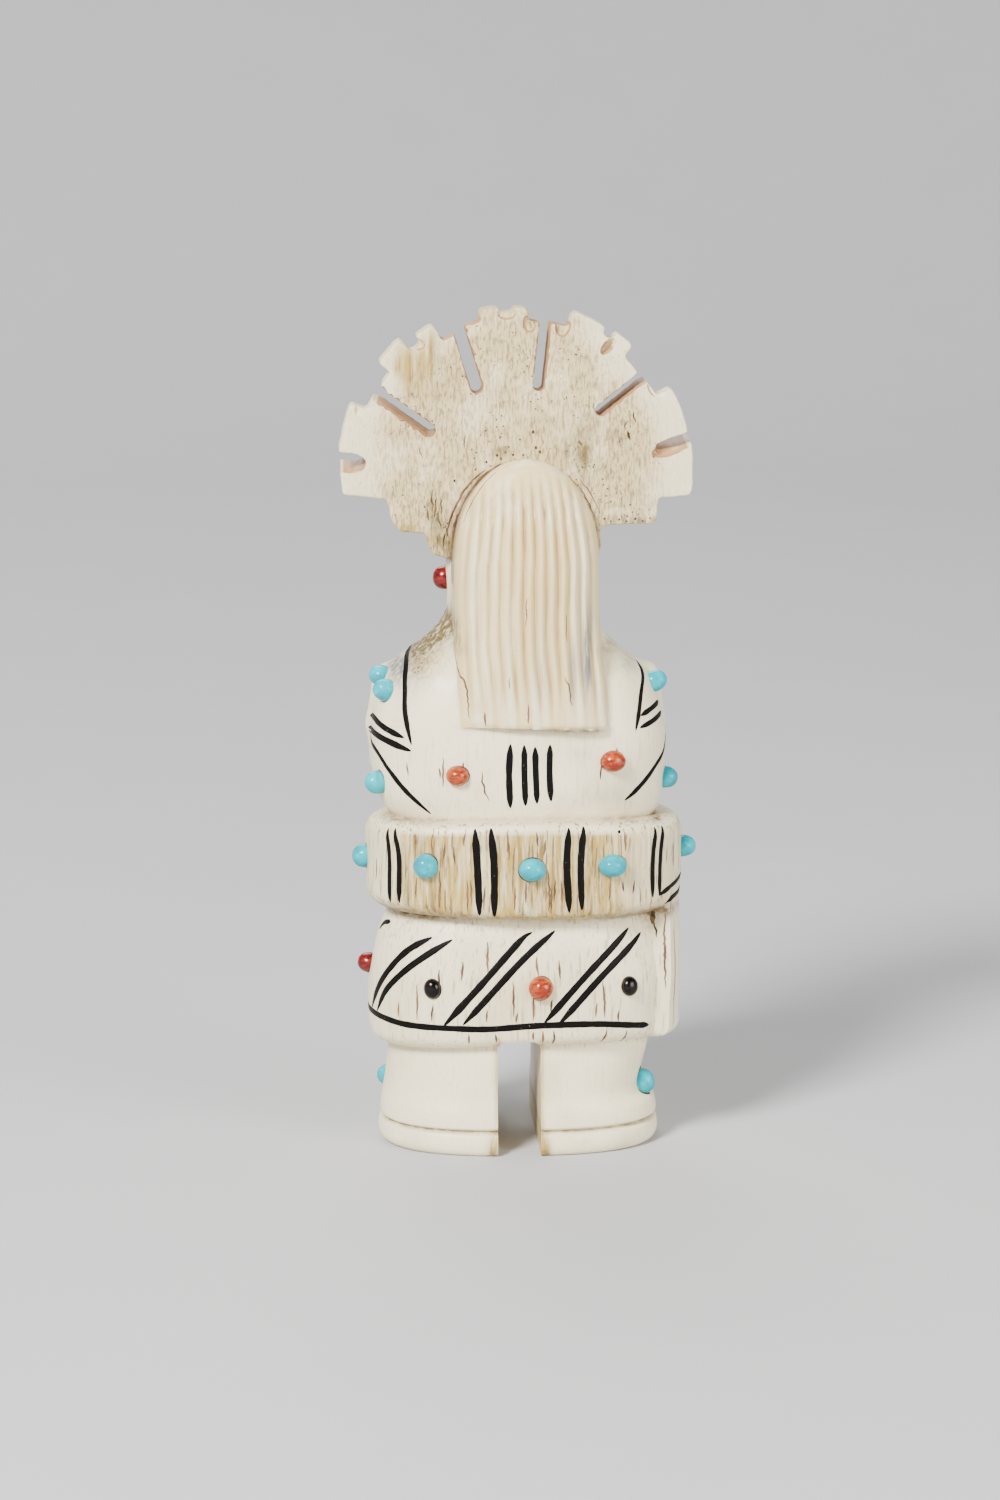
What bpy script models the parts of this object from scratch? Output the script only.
"""A small standing maiden carved from one piece of antler, with domed stones in drilled pockets.

The figure faces -Y and stands on the soles of its boots at z = 0. Its left hand side is +X.
Free forms are shares of the figure's height: U is one eightieth of it, 1 mm on this 80 mm carving.
"""

import bmesh
import bpy
from math import atan2, cos, pi, radians, sin, sqrt
from mathutils import Vector
from mathutils.geometry import delaunay_2d_cdt

# Driving sizes, in metres
HEIGHT = 0.080
LEG_GAP = 0.0041
TABLITA_THICKNESS = 0.0035
BELT_PROUD = 0.0020
SASH_PROUD = 0.0006
FLUTE_DEPTH = 0.00035
SOLE_GROOVE_DEPTH = 0.0004
ARM_THICKNESS = 0.0047
TURQUOISE_WIDTH = 0.0023
CORAL_WIDTH = 0.0022
JET_WIDTH = 0.0018
POCKET_DEPTH = 0.0009
GLUE_GAP = 0.00006
FLUTES = 13

U = HEIGHT / 80

# Facets
COLUMNS = 32
REED_STEPS = 5
STUD_SIDES = 10
ROUND_STEPS = 3
TUBE_SIDES = 10

# Levels of the dress, from the soles up
GROOVE_LEVEL = 2.35 * U
HEM_LEVEL = 10.2 * U
BELT_LOW = 23.0 * U
BELT_HIGH = 31.8 * U
LEG_GAP_TOP = 11.3 * U
LEG_GAP_CENTRE = 0.25 * U

BACK_POWER = 2.5
FRONT_POWER = 2.0

# Body sections: height, reach to the left, right, back and front, all in shares
LEGS = (
    (0.00, 12.9, 13.1, 9.2, 10.2),
    (0.35, 13.2, 13.35, 9.4, 10.5),
    (2.35, 13.25, 13.4, 9.3, 10.4),
    (3.40, 13.2, 13.35, 9.2, 10.2),
    (4.15, 13.1, 13.0, 9.05, 9.6),
    (4.85, 12.95, 12.1, 8.8, 8.8),
    (6.60, 12.6, 12.1, 8.6, 8.4),
    (8.60, 12.4, 12.5, 8.5, 8.4),
    (10.2, 12.5, 12.7, 8.3, 8.1),
)
SKIRT = (
    (10.2, 14.2, 14.35, 9.75, 9.6),
    (13.3, 14.4, 14.5, 9.9, 9.7),
    (17.2, 14.1, 14.4, 9.8, 9.6),
    (20.1, 13.4, 14.0, 9.3, 9.2),
    (23.0, 12.1, 13.1, 8.5, 8.3),
)
WAIST = (
    (23.0, 12.4, 13.7, 8.7, 8.5),
    (31.8, 12.5, 13.8, 8.7, 8.5),
)
BODICE = (
    (31.8, 12.3, 13.2, 8.4, 8.2),
    (34.0, 13.6, 13.8, 8.8, 8.5),
    (36.7, 13.95, 14.1, 8.9, 8.3),
    (39.2, 13.95, 14.1, 8.9, 8.2),
    (41.6, 13.75, 13.7, 8.7, 8.0),
    (43.6, 13.25, 13.2, 8.3, 7.6),
    (45.6, 12.4, 12.3, 7.7, 7.0),
    (47.0, 11.0, 10.6, 7.0, 6.3),
    (48.3, 9.25, 9.0, 6.3, 5.6),
    (49.7, 7.7, 7.7, 5.8, 5.0),
    (51.0, 6.85, 7.1, 5.5, 4.8),
    (52.2, 6.65, 6.9, 5.5, 5.9),
    (54.0, 6.8, 7.0, 5.5, 7.0),
    (57.5, 6.9, 7.1, 5.5, 7.5),
    (60.4, 6.65, 6.85, 5.2, 7.3),
    (60.8, 6.6, 6.8, 5.15, 7.8),
    (63.0, 5.6, 5.8, 4.6, 6.9),
    (64.7, 4.0, 4.1, 3.6, 5.3),
    (65.6, 2.0, 2.0, 2.0, 2.8),
)
HEM_ROUND = 1.2
BELT_ROUND = 1.9
BELT_ROUND_BACK = 0.9

# Hair: a dome of reeds down the back, from the crown to a square-cut end
HAIR_ARCH = 56.3
HAIR_HIGH = 65.6
HAIR_HALF = 6.95
HAIR_ROWS = (41.3, 43.0, 45.0, 47.0, 49.0, 52.0, 55.0, 57.5, 59.5, 61.2, 62.6, 63.8, 64.6, 65.2, 65.6)
# height, ridge and edge reach to the back, side shift
HAIR_SHAPE = (
    (41.3, 9.75, 8.15, -1.20),
    (45.6, 9.85, 7.0, -0.95),
    (49.0, 10.05, 4.9, -0.70),
    (51.5, 10.2, 3.2, -0.62),
    (57.5, 9.95, 3.0, -0.60),
    (61.5, 9.0, 3.0, -0.60),
    (64.0, 7.5, 3.0, -0.60),
    (65.6, 5.9, 3.0, -0.60),
)
REEDS_AT_TOP = 0.80

# Tablita: a stepped fan behind the head. Angles in degrees from the top, positive to the right.
FAN_CENTRE = (0.27, 64.82)
TABLITA_BACK = 3.6
# Each cloud of the fan: where it starts, then (end angle, radius) of each step of its rim
CLOUDS = (
    (-98.0, ((-84.5, 16.45), (-67.9, 16.7), (-63.0, 15.0))),
    (-59.7, ((-52.0, 14.9), (-41.4, 16.4), (-37.0, 14.8), (-29.8, 15.7), (-25.3, 13.9))),
    (-20.3, ((-13.4, 14.3), (-5.7, 15.3), (-1.0, 14.75), (4.3, 15.2), (9.3, 13.95))),
    (13.4, ((19.9, 14.1), (32.3, 15.7), (36.2, 15.0), (43.4, 15.9), (52.2, 14.6))),
    (54.6, ((62.4, 14.75), (79.2, 16.45), (98.6, 16.6))),
)
# Saw cuts between the clouds: mouth angle, depth, lean of the cut, width, slant towards the front
SAW_CUTS = (
    (-60.9, 6.5, -54.5, 1.20, 0.40),
    (-21.9, 6.9, -17.1, 1.13, 0.0),
    (10.7, 7.2, 6.0, 1.03, 0.03),
    (53.6, 5.7, 51.4, 0.95, 0.22),
)
SIDE_CUTS = (
    (-87.3, 0.75, -84.0, 1.27, 0.72),
    (80.9, 1.7, 74.0, 1.05, 0.70),
)
# Lower steps of the fan towards the head, as distance from the middle and height
LEFT_STEPS = ((12.4, 62.1), (11.9, 59.9), (11.2, 59.1), (8.8, 58.9), (8.3, 57.0), (6.6, 56.5))
RIGHT_STEPS = ((-13.1, 62.1), (-12.85, 59.7), (-8.2, 59.6), (-7.5, 59.2), (-7.7, 57.4), (-7.0, 56.4))

# Sash end that hangs from the belt at the right hip
SASH_ANGLES = (158.0, 204.0)
SASH_LEVELS = (10.0, 27.5)

# Bent arms in relief on the front
ARM_PATH = (
    (12.0, -1.0, 44.0),
    (12.0, -2.4, 40.0),
    (11.6, -2.9, 36.4),
    (9.6, -5.0, 35.6),
    (6.2, -7.3, 36.2),
    (3.4, -8.1, 37.0),
)
HAND = (1.9, -8.7, 37.4)

# Stones: name, stone, angle in degrees round the body, height, width and height as shares of the
# stone's own width. Angle 0 is the left side, 90 the back, 180 the right side.
STUDS = (
    ("turquoise_shoulder_left_front", "turquoise", 4.0, 44.9, 1.0, 1.0),
    ("turquoise_shoulder_left_back", "turquoise", 15.5, 44.0, 0.95, 1.0),
    ("turquoise_shoulder_right", "turquoise", 172.0, 44.4, 0.92, 0.92),
    ("turquoise_elbow_left", "turquoise", 15.0, 35.3, 0.95, 1.0),
    ("turquoise_elbow_right", "turquoise", 173.0, 35.2, 0.95, 0.95),
    ("turquoise_belt_left", "turquoise", 3.0, 27.6, 1.0, 1.06),
    ("turquoise_belt_back_left", "turquoise", 45.6, 28.3, 1.06, 1.02),
    ("turquoise_belt_back", "turquoise", 94.2, 28.1, 1.1, 1.0),
    ("turquoise_belt_back_right", "turquoise", 131.0, 28.2, 1.12, 1.0),
    ("turquoise_belt_right", "turquoise", 177.0, 28.3, 1.0, 0.95),
    ("turquoise_belt_front_right", "turquoise", 222.0, 27.6, 1.05, 1.0),
    ("turquoise_belt_front", "turquoise", 270.0, 27.6, 1.05, 1.0),
    ("turquoise_belt_front_left", "turquoise", 318.0, 27.6, 1.05, 1.0),
    ("turquoise_leg_left", "turquoise", -14.0, 5.0, 1.0, 1.0),
    ("turquoise_leg_right", "turquoise", 168.0, 5.6, 1.0, 1.06),
    ("coral_earring_left", "coral", 2.0, 54.3, 1.0, 1.1),
    ("coral_earring_right", "coral", 205.0, 54.3, 1.0, 1.1),
    ("coral_back_left", "coral", 54.6, 36.7, 1.0, 0.9),
    ("coral_back_right", "coral", 137.6, 37.8, 1.12, 0.95),
    ("coral_skirt_left", "coral", 0.0, 17.0, 1.0, 0.9),
    ("coral_skirt_back", "coral", 100.0, 16.5, 1.02, 1.08),
    ("coral_skirt_front", "coral", 270.0, 16.5, 1.0, 1.0),
    ("jet_skirt_back_left", "jet", 45.8, 16.3, 0.98, 1.06),
    ("jet_skirt_back_right", "jet", 142.0, 16.2, 0.94, 1.1),
    ("jet_skirt_front_left", "jet", 318.0, 16.3, 1.0, 1.0),
    ("jet_skirt_front_right", "jet", 222.0, 16.3, 1.0, 1.0),
)
STUD_WIDTH = {"turquoise": TURQUOISE_WIDTH, "coral": CORAL_WIDTH, "jet": JET_WIDTH}
STUD_PROUD = {"turquoise": 0.60, "coral": 0.55, "jet": 0.42}
# Side of a stone from its seat to its top: share of its half width, share of its depth or rise
STUD_SEAT = ((0.98, -1.0),)
STUD_DOME = ((1.0, 0.2), (0.82, 0.66), (0.42, 0.94))


# Materials


def material(name, colour, roughness, coat=0.0):
    made = bpy.data.materials.new(name)
    made.use_nodes = True
    shader = made.node_tree.nodes["Principled BSDF"]
    shader.inputs["Base Color"].default_value = (*colour, 1.0)
    shader.inputs["Roughness"].default_value = roughness
    shader.inputs["Metallic"].default_value = 0.0
    shader.inputs["Coat Weight"].default_value = coat
    return made


def finish(obj, look):
    obj.data.materials.clear()
    obj.data.materials.append(look)
    obj.data.shade_smooth()
    obj.data.set_sharp_from_angle(angle=radians(35))


# Mesh helpers


def mesh_object(name, points, faces):
    mesh = bpy.data.meshes.new(name)
    mesh.from_pydata(points, [], faces)
    mesh.update()
    obj = bpy.data.objects.new(name, mesh)
    bpy.context.scene.collection.objects.link(obj)
    return obj


def loft(name, rings):
    """A closed solid through rings of equally many points, with a flat cap at each end."""
    sides = len(rings[0])
    points = [p for ring in rings for p in ring]
    faces = [tuple(range(sides))[::-1]]
    for row in range(len(rings) - 1):
        for k in range(sides):
            a, b = row * sides + k, row * sides + (k + 1) % sides
            faces.append((a, b, b + sides, a + sides))
    last = (len(rings) - 1) * sides
    faces.append(tuple(range(last, last + sides)))
    obj = mesh_object(name, points, faces)
    work = bmesh.new()
    work.from_mesh(obj.data)
    bmesh.ops.recalc_face_normals(work, faces=work.faces[:])
    bmesh.ops.triangulate(work, faces=work.faces[:])
    work.to_mesh(obj.data)
    work.free()
    return obj


def combine(base, other, operation):
    """Adds other to base, or cuts it away, and removes other."""
    step = base.modifiers.new("step", "BOOLEAN")
    step.operation = operation
    step.object = other
    depsgraph = bpy.context.evaluated_depsgraph_get()
    result = bpy.data.meshes.new_from_object(base.evaluated_get(depsgraph))
    base.modifiers.clear()
    base.data = result
    bpy.data.objects.remove(other)


def smooth_between(table, height):
    """The row of sizes at a height, on smooth curves through the rows of the table."""
    if height <= table[0][0]:
        return table[0][1:]
    if height >= table[-1][0]:
        return table[-1][1:]
    i = max(k for k in range(len(table) - 1) if table[k][0] <= height)
    low, high = table[i], table[i + 1]
    before, after = table[max(i - 1, 0)], table[min(i + 2, len(table) - 1)]
    span = high[0] - low[0]
    t = (height - low[0]) / span
    sizes = []
    for k in range(1, len(low)):
        slope_low = (high[k] - before[k]) / (high[0] - before[0]) * span
        slope_high = (after[k] - low[k]) / (after[0] - low[0]) * span
        sizes.append(
            (2 * t**3 - 3 * t**2 + 1) * low[k]
            + (t**3 - 2 * t**2 + t) * slope_low
            + (3 * t**2 - 2 * t**3) * high[k]
            + (t**3 - t**2) * slope_high
        )
    return tuple(sizes)


# Body: rounded sections stacked from the soles to the crown


def section_radius(angle, sizes):
    """Distance from the body's axis to the surface, in shares."""
    left, right, back, front = sizes
    c, s = cos(angle), sin(angle)
    half = left if c > 0 else right
    depth, power = (back, BACK_POWER) if s > 0 else (front, FRONT_POWER)
    return (abs(c / half) ** power + abs(s / depth) ** power) ** (-1 / power)


def inset(sizes, amount):
    return tuple(size - amount for size in sizes)


def edge_inset(distance, radius):
    """How far a rounded edge has drawn in, at a distance from the edge's end."""
    if distance >= radius:
        return 0.0
    return radius - sqrt(radius**2 - (radius - distance) ** 2)


def belt_sizes(height):
    """The belt stands proud of the waist. Its edges are rounded, most of all at the sides."""
    low, high = BELT_LOW / U, BELT_HIGH / U
    edge = min(height - low, high - height)
    left, right, back, front = inset(smooth_between(WAIST, height), -BELT_PROUD / U)
    side, flat = edge_inset(edge, BELT_ROUND), edge_inset(edge, BELT_ROUND_BACK)
    return left - side, right - side, back - flat, front - flat


def skirt_sizes(height):
    return inset(smooth_between(SKIRT, height), edge_inset(height - HEM_LEVEL / U, HEM_ROUND))


def leg_sizes(height):
    return smooth_between(LEGS, height)


def bodice_sizes(height):
    return smooth_between(BODICE, height)


def body_sizes(height):
    """The sizes of whichever part of the dress shows at a height."""
    if height < HEM_LEVEL / U:
        return leg_sizes(height)
    if height < BELT_LOW / U:
        return skirt_sizes(height)
    if height < BELT_HIGH / U:
        return belt_sizes(height)
    return bodice_sizes(height)


def round_levels(edge, radius, direction):
    """Heights that share out a rounded edge evenly, from its end inwards."""
    return [edge + direction * radius * (1 - cos(k / ROUND_STEPS * pi / 2)) for k in range(ROUND_STEPS + 1)]


def body_rows():
    """Every section of the body as (height, sizes). Two rows at one height make a ledge."""
    groove, depth, half = GROOVE_LEVEL / U, SOLE_GROOVE_DEPTH / U, 0.3
    hem, low, high = HEM_LEVEL / U, BELT_LOW / U, BELT_HIGH / U
    rows = [(row[0], row[1:]) for row in LEGS[:2]]
    rows.append((groove - half, leg_sizes(groove - half)))
    rows.append((groove, inset(leg_sizes(groove), depth)))
    rows.append((groove + half, leg_sizes(groove + half)))
    rows += [(row[0], row[1:]) for row in LEGS[3:]]
    rows += [(z, skirt_sizes(z)) for z in round_levels(hem, HEM_ROUND, 1)]
    rows += [(row[0], row[1:]) for row in SKIRT[1:]]
    rows += [(z, belt_sizes(z)) for z in round_levels(low, BELT_ROUND, 1)]
    rows += [(z, belt_sizes(z)) for z in reversed(round_levels(high, BELT_ROUND, -1))]
    rows += [(row[0], row[1:]) for row in BODICE]
    return rows


def column_angles():
    """Angles that space the columns evenly along the body's oval section."""
    wide, deep = 14.0, 9.5
    turns = [2 * pi * k / COLUMNS for k in range(COLUMNS)]
    return [atan2(deep * sin(t), wide * cos(t)) for t in turns]


def make_body():
    rings = []
    angles = column_angles()
    for height, sizes in body_rows():
        ring = []
        for angle in angles:
            r = section_radius(angle, sizes) * U
            ring.append((r * cos(angle), r * sin(angle), height * U))
        rings.append(ring)
    return loft("carving", rings)


def make_leg_gap():
    """The arched slot between the legs."""
    half, corner = LEG_GAP / 2, 1.1 * U
    outline = [(-half, -2 * U), (half, -2 * U)]
    for side in (1, -1):
        for k in range(4):
            turn = radians(30 * k) if side > 0 else radians(90 - 30 * k)
            outline.append(
                (side * (half - corner + corner * cos(turn)), LEG_GAP_TOP - corner + corner * sin(turn))
            )
    reach = 20 * U
    rings = [[(x + LEG_GAP_CENTRE, y, z) for x, z in outline] for y in (-reach, reach)]
    return loft("leg_gap", rings)


# Hair


def hair_point(across, height):
    """A point of the hair's surface, across from -1 at its right edge to 1 at its left."""
    ridge, edge, shift = smooth_between(HAIR_SHAPE, height)
    rise = max(0.0, height - HAIR_ARCH) / (HAIR_HIGH - HAIR_ARCH)
    arch = HAIR_HALF * sqrt(max(0.0, 1 - rise**2))
    x = across * HAIR_HALF * (1 - (1 - REEDS_AT_TOP) * rise)
    share = min(1.0, abs(x) / arch) if arch > 0 else 1.0
    dome = (1 - share**2.4) ** (1 / 2.4)
    reed = abs(sin(pi * FLUTES * (across + 1) / 2)) - 1
    border = min(1.0, max(0.0, (0.97 - share) * 8))
    y = edge + (ridge - edge) * dome + reed * FLUTE_DEPTH / U * border
    return Vector(((x + shift) * U, y * U, height * U))


def make_hair():
    """Reeds side by side on a dome, as a block that reaches into the head and the back."""
    columns = FLUTES * REED_STEPS
    rings = []
    for height in HAIR_ROWS:
        ring = [hair_point(2 * k / columns - 1, height) for k in range(columns + 1)]
        inner = 1.0 * U
        ring.append(Vector((ring[-1].x - inner, 0, height * U)))
        ring.append(Vector((ring[0].x + inner, 0, height * U)))
        rings.append(ring)
    return loft("hair", rings)


# Tablita


def fan_point(angle, radius):
    turn = radians(angle)
    return (FAN_CENTRE[0] - radius * sin(turn), FAN_CENTRE[1] + radius * cos(turn))


def rim_arc(start, end, radius):
    """Points along one step of the rim, no more than 6 degrees apart."""
    count = max(1, round(abs(end - start) / 6))
    return [fan_point(start + (end - start) * k / count, radius) for k in range(count + 1)]


def cut_outline(cut, depth_share):
    """The four corners of a saw cut, left wall first. Slanted cuts rise towards the front."""
    mouth, depth, lean, width, slant = cut
    along = Vector((-sin(radians(lean)), cos(radians(lean))))
    across = Vector((-along.y, along.x))
    if across.y > 0:
        lift = across * slant * depth_share
    else:
        lift = -across * slant * depth_share
    rim = Vector(fan_point(mouth, 15.0)) + lift
    floor = rim - along * depth
    half = across * width / 2
    return rim + half + along * 3, floor + half, floor - half, rim - half + along * 3


def make_tablita():
    """The stepped fan, sawn apart between its clouds."""
    outline = list(LEFT_STEPS[::-1])
    for start, steps in CLOUDS:
        for end, radius in steps:
            outline += rim_arc(start, end, radius)
            start = end
    outline += list(RIGHT_STEPS)
    y_back = TABLITA_BACK * U
    rings = [[(x * U, y, z * U) for x, z in outline] for y in (y_back, y_back - TABLITA_THICKNESS)]
    fan = loft("tablita", rings)
    for cut in SAW_CUTS + SIDE_CUTS:
        over = 1.0
        reach = TABLITA_THICKNESS / U
        rings = []
        for share in (-over / reach, 1 + over / reach):
            y = y_back - share * TABLITA_THICKNESS
            rings.append([(p.x * U, y, p.y * U) for p in cut_outline(cut, share)])
        combine(fan, loft("saw_cut", rings), "DIFFERENCE")
    return fan


# Sash end and arms


def sash_radius(angle, height):
    sizes = smooth_between(SKIRT, height)
    drop = edge_inset(height - SASH_LEVELS[0], HEM_ROUND)
    hang = smooth_between(WAIST, BELT_LOW / U)
    proud = section_radius(angle, inset(hang, -BELT_PROUD / U)) - 0.05
    return max(proud, section_radius(angle, sizes) + SASH_PROUD / U) - drop


def make_sash():
    """A flap that hangs from the belt, flush with it, over the right side of the skirt."""
    low, high = SASH_LEVELS
    start, end = (radians(a) for a in SASH_ANGLES)
    turns = [start + (end - start) * k / 8 for k in range(9)]
    levels = round_levels(low, HEM_ROUND, 1) + [14.0, 18.0, 22.5, high]
    rings = []
    for height in levels:
        ring = [Vector((cos(a), sin(a), 0)) * sash_radius(a, height) for a in turns]
        ring += [Vector((cos(a), sin(a), 0)) * 8.0 for a in (end, start)]
        rings.append([(p.x * U, p.y * U, height * U) for p in ring])
    return loft("sash", rings)


def tube(name, path, radii):
    """A round limb along a path, with rings square to it."""
    rings = []
    for i, point in enumerate(path):
        ahead = path[min(i + 1, len(path) - 1)] - path[max(i - 1, 0)]
        side = ahead.cross(Vector((0, 1, 0.3))).normalized()
        up = side.cross(ahead).normalized()
        turns = [2 * pi * k / TUBE_SIDES for k in range(TUBE_SIDES)]
        rings.append([point + radii[i] * (side * cos(t) + up * sin(t)) for t in turns])
    return loft(name, rings)


def make_arm(side):
    """Upper arm, elbow and forearm of one side, 1 for the left and -1 for the right."""
    path = [Vector((side * x, y, z)) * U for x, y, z in ARM_PATH]
    thick = ARM_THICKNESS / 2
    shares = (0.75, 1.0, 1.06, 0.98, 0.86, 0.74)
    return tube("arm", path, [thick * share for share in shares])


def make_hand(side):
    """A closed hand as a flattened ball."""
    bpy.ops.mesh.primitive_uv_sphere_add(segments=10, ring_count=6)
    hand = bpy.context.object
    middle = Vector((side * HAND[0], HAND[1], HAND[2])) * U
    for v in hand.data.vertices:
        v.co = Vector((v.co.x * 2.0 * U, v.co.y * 1.5 * U, v.co.z * 1.9 * U)) + middle
    return hand


def make_nose():
    """A small wedge down the middle of the face."""
    wedge = ((61.0, 0.45, 7.3), (58.4, 0.65, 7.9), (56.7, 0.95, 8.5), (56.1, 0.8, 7.6))
    rings = []
    for z, half, reach in wedge:
        edge = 0.45 - reach
        corners = ((half, -5.0), (half, edge), (0.0, -reach), (-half, edge), (-half, -5.0))
        rings.append([(x * U, y * U, z * U) for x, y in corners])
    return loft("nose", rings)


# Stones in their pockets


def surface_frame(angle, height):
    """A point of the body's surface and its outward direction."""

    def at(turn, level):
        r = section_radius(turn, body_sizes(level)) * U
        return Vector((r * cos(turn), r * sin(turn), level * U))

    small = 0.02
    here = at(angle, height)
    across = at(angle + small, height) - at(angle - small, height)
    upward = at(angle, height + small) - at(angle, height - small)
    return here, across.cross(upward).normalized()


def stud_frame(angle, height):
    here, out = surface_frame(radians(angle), height)
    across = Vector((0, 0, 1)).cross(out).normalized()
    return here, across, out.cross(across).normalized(), out


def stud_rings(stud, profile, growth):
    """Rings of a stone or of its pocket: profile holds (share of half width, distance out)."""
    _, stone, angle, height, wide, tall = stud
    here, across, up, out = stud_frame(angle, height)
    half = STUD_WIDTH[stone] / 2
    rings = []
    for share, reach in profile:
        ring = []
        for k in range(STUD_SIDES):
            turn = 2 * pi * k / STUD_SIDES
            x = (half * wide * share + growth) * cos(turn)
            z = (half * tall * share + growth) * sin(turn)
            ring.append(here + across * x + up * z + out * reach)
        rings.append(ring)
    return rings


def make_stud(stud, looks):
    name, stone = stud[0], stud[1]
    rise = STUD_PROUD[stone] * STUD_WIDTH[stone]
    profile = [(share, reach * POCKET_DEPTH) for share, reach in STUD_SEAT]
    profile += [(share, reach * rise) for share, reach in STUD_DOME]
    profile.append((0.12, rise))
    obj = loft(name, stud_rings(stud, profile, 0.0))
    finish(obj, looks[stone])
    return obj


def make_pocket(stud):
    """The drilled seat of a stone: its outline and depth, each with the gap for glue."""
    profile = ((1.0, -POCKET_DEPTH - GLUE_GAP), (1.0, 4 * GLUE_GAP + 0.9 * POCKET_DEPTH))
    return loft("pocket", stud_rings(stud, profile, GLUE_GAP))


def main():
    for obj in list(bpy.data.objects):
        bpy.data.objects.remove(obj)
    antler = material("antler", (0.80, 0.76, 0.68), 0.38)
    looks = {
        "turquoise": material("turquoise", (0.12, 0.55, 0.66), 0.30, 0.2),
        "coral": material("coral", (0.75, 0.16, 0.08), 0.20, 0.4),
        "jet": material("jet", (0.02, 0.015, 0.015), 0.12, 0.5),
    }
    carving = make_body()
    for added in (make_hair(), make_tablita(), make_sash(), make_nose()):
        combine(carving, added, "UNION")
    for side in (1, -1):
        combine(carving, make_arm(side), "UNION")
        combine(carving, make_hand(side), "UNION")
    combine(carving, make_leg_gap(), "DIFFERENCE")
    for stud in STUDS:
        combine(carving, make_pocket(stud), "DIFFERENCE")
        make_stud(stud, looks)
    finish(carving, antler)


main()
